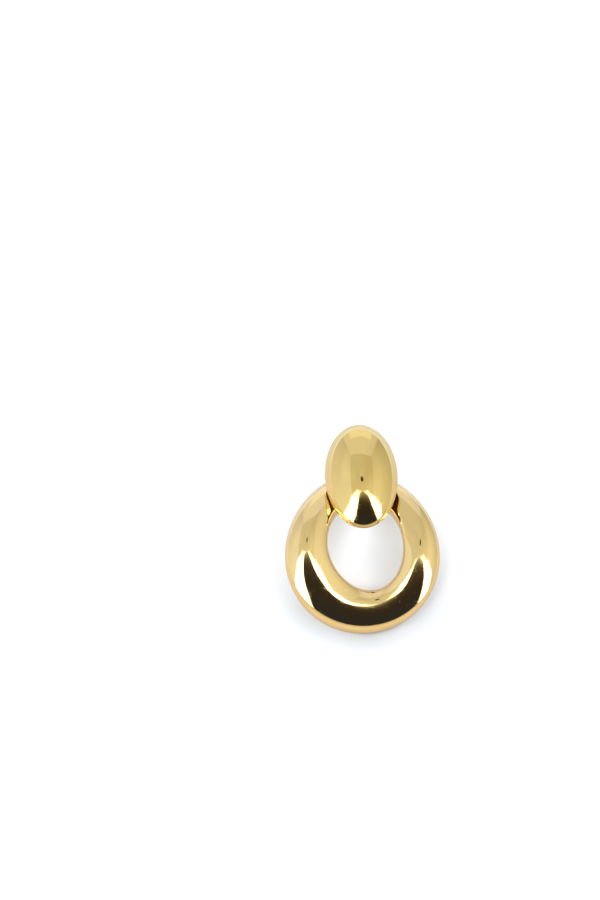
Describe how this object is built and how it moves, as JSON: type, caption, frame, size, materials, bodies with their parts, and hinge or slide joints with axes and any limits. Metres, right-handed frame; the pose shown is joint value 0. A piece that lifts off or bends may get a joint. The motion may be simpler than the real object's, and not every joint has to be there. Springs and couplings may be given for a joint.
{
  "type": "clip-on earring",
  "caption": "Polished earring: an oval dome with a thick bowed hoop hinged under it and a plain clip behind, lying face up.",
  "frame": {"origin": "under the middle of the whole earring, on the surface it lies on", "axes": "+Z from the surface towards the viewer, out of the dome's crown; +Y from the hoop towards the dome; +X to the right as seen face on"},
  "size_m": [0.0364, 0.049, 0.0173],
  "materials": {
    "gold_plate": "mirror-polished gold plate",
    "clip_metal": "satin gold plate"
  },
  "bodies": {
    "dome": {"oval_dome": "gold_plate", "ear_clip": "clip_metal"},
    "hoop": {"hoop": "gold_plate"}
  },
  "joints": [
    {"name": "hoop_swing", "type": "hinge", "parent": "dome", "child": "hoop", "pos_m": [-0.00025, 0.01483, 0.0122], "axis": [-1, 0, 0], "range_deg": [-30, 4]}
  ]
}
